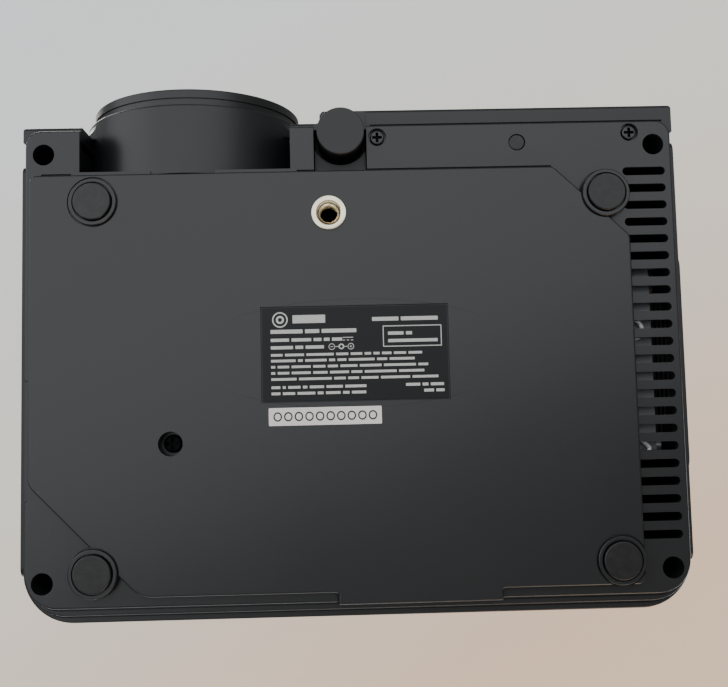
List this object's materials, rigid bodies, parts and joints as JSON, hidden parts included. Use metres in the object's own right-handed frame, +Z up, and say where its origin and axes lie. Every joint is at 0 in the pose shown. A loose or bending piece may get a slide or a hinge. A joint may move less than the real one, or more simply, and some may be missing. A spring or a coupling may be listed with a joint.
{
  "type": "home projector",
  "caption": "Flat box-shaped video projector with a round lens at the left of its front, side fan vents, rear sockets, rubber feet and a screw-out levelling foot.",
  "frame": {"origin": "on the table under the centre of the body, at the height of the rubber feet's undersides", "axes": "+Z is up, -Y is the way the lens looks and +Y is the side with the sockets, and +X is the side with the fan vents"},
  "size_m": [0.2024, 0.1582, 0.0764],
  "materials": {
    "case_black": "fine spark texture",
    "bezel_black": "satin",
    "panel_black": "satin",
    "rubber_black": "matt",
    "brass": "plated, bright",
    "screw_black": "black zinc",
    "screw_steel": "plain zinc",
    "label_black": "laminated",
    "sticker_white": "matt",
    "window": "polished",
    "lens_glass": "coated",
    "clear_glass": "polished",
    "sheet_plastic": "ribbed",
    "silver_mirror": "front silvered",
    "optic_black": "flat",
    "alloy": "extruded",
    "funnel_white": "heat resistant",
    "lcd_dark": "polished",
    "board_green": "solder mask",
    "board_white": "solder mask",
    "socket_steel": "tinned",
    "socket_black": "moulded",
    "fan_grey": "moulded",
    "key_grey": "satin",
    "lead_white": "soft insulation",
    "ink_pale": "printed",
    "ink_dark": "printed"
  },
  "bodies": {
    "case": {"bottom_case": "case_black", "top_case": "case_black", "front_bezel": "bezel_black", "ir_window": "window", "left_side_panel": "panel_black", "right_side_panel": "panel_black", "speaker_grille": "panel_black", "rear_panel": "bezel_black", "rubber_feet": "rubber_black", "tripod_insert": "brass", "case_screws": "screw_black", "bezel_screws": "screw_black", "test_plug": "rubber_black", "rating_label": "label_black", "serial_sticker": "sticker_white", "foot_bracket": "case_black", "foot_nut": "screw_steel", "lens_mount": "optic_black", "optical_housing": "optic_black", "optical_lid": "optic_black", "fold_mirror": "silver_mirror", "heat_glass": "clear_glass", "inner_fresnel": "sheet_plastic", "outer_fresnel": "sheet_plastic", "condenser_lens": "clear_glass", "light_funnel": "funnel_white", "led_board": "board_white", "led_heatsink": "alloy", "fan_frame": "fan_grey", "fan_screws": "screw_steel", "main_board": "board_green", "hdmi_socket": "socket_steel", "usb_socket": "socket_steel", "card_socket": "socket_steel", "audio_jacks": "socket_black", "dc_socket": "socket_black", "key_board": "board_green", "inner_screws": "screw_steel", "speaker": "socket_black", "keystone_axle": "screw_steel", "fan_leads": "lead_white"},
    "focus_ring": {"focus_ring": "bezel_black"},
    "lens_barrel": {"lens_barrel": "optic_black", "front_lens": "lens_glass", "rear_lens": "clear_glass", "retaining_ring": "optic_black"},
    "lcd_carrier": {"lcd_carrier": "optic_black", "lcd_panel": "lcd_dark"},
    "keystone_wheel": {"keystone_wheel": "key_grey"},
    "fan_rotor": {"fan_rotor": "fan_grey"},
    "foot_pad": {"foot_pad": "rubber_black"},
    "foot_knob": {"foot_knob": "bezel_black"},
    "key_power": {"key_power": "key_grey"},
    "key_menu": {"key_menu": "key_grey"},
    "key_ok": {"key_ok": "key_grey"},
    "key_up": {"key_up": "key_grey"},
    "key_down": {"key_down": "key_grey"},
    "key_left": {"key_left": "key_grey"},
    "key_right": {"key_right": "key_grey"}
  },
  "joints": [
    {"name": "foot_extend", "type": "slide", "parent": "case", "child": "foot_pad", "axis": [0, 0, -1], "range_m": [0, 0.008]},
    {"name": "foot_turn", "type": "hinge", "parent": "foot_pad", "child": "foot_knob", "pos_m": [-0.0028, -0.06435, 0.0044], "axis": [0, 0, -1], "range_deg": [0, 3605]},
    {"name": "focus_slide", "type": "slide", "parent": "case", "child": "lens_barrel", "axis": [0, -1, 0], "range_m": [0, 0.006]},
    {"name": "focus_turn", "type": "hinge", "parent": "case", "child": "focus_ring", "pos_m": [-0.0502, -0.068, 0.0371], "axis": [0, -1, 0], "range_deg": [0, 121]},
    {"name": "keystone_turn", "type": "hinge", "parent": "case", "child": "keystone_wheel", "pos_m": [-0.012, -0.044, 0.0619], "axis": [0, 1, 0], "range_deg": [-45, 45]},
    {"name": "lcd_tilt", "type": "hinge", "parent": "case", "child": "lcd_carrier", "pos_m": [0.006, 0.0015, 0.0371], "axis": [0, 1, 0], "range_deg": [-3.8, 3.8]},
    {"name": "fan_spin", "type": "hinge", "parent": "case", "child": "fan_rotor", "pos_m": [0.084, 0.0062, 0.0399], "axis": [1, 0, 0], "continuous": true},
    {"name": "press_power", "type": "slide", "parent": "case", "child": "key_power", "axis": [0, 0, -1], "range_m": [0, 0.0008], "stiffness_N_per_m": 600, "springref_m": -0.0012},
    {"name": "press_menu", "type": "slide", "parent": "case", "child": "key_menu", "axis": [0, 0, -1], "range_m": [0, 0.0008], "stiffness_N_per_m": 600, "springref_m": -0.0012},
    {"name": "press_ok", "type": "slide", "parent": "case", "child": "key_ok", "axis": [0, 0, -1], "range_m": [0, 0.0008], "stiffness_N_per_m": 600, "springref_m": -0.0012},
    {"name": "press_up", "type": "slide", "parent": "case", "child": "key_up", "axis": [0, 0, -1], "range_m": [0, 0.0008], "stiffness_N_per_m": 600, "springref_m": -0.0012},
    {"name": "press_down", "type": "slide", "parent": "case", "child": "key_down", "axis": [0, 0, -1], "range_m": [0, 0.0008], "stiffness_N_per_m": 600, "springref_m": -0.0012},
    {"name": "press_left", "type": "slide", "parent": "case", "child": "key_left", "axis": [0, 0, -1], "range_m": [0, 0.0008], "stiffness_N_per_m": 600, "springref_m": -0.0012},
    {"name": "press_right", "type": "slide", "parent": "case", "child": "key_right", "axis": [0, 0, -1], "range_m": [0, 0.0008], "stiffness_N_per_m": 600, "springref_m": -0.0012}
  ],
  "couplings": [
    {"joint": "foot_turn", "follows": "foot_extend", "rad_per_m": 7854},
    {"joint": "focus_turn", "follows": "focus_slide", "rad_per_m": 349.07},
    {"joint": "lcd_tilt", "follows": "keystone_turn", "ratio": 0.0838}
  ]
}
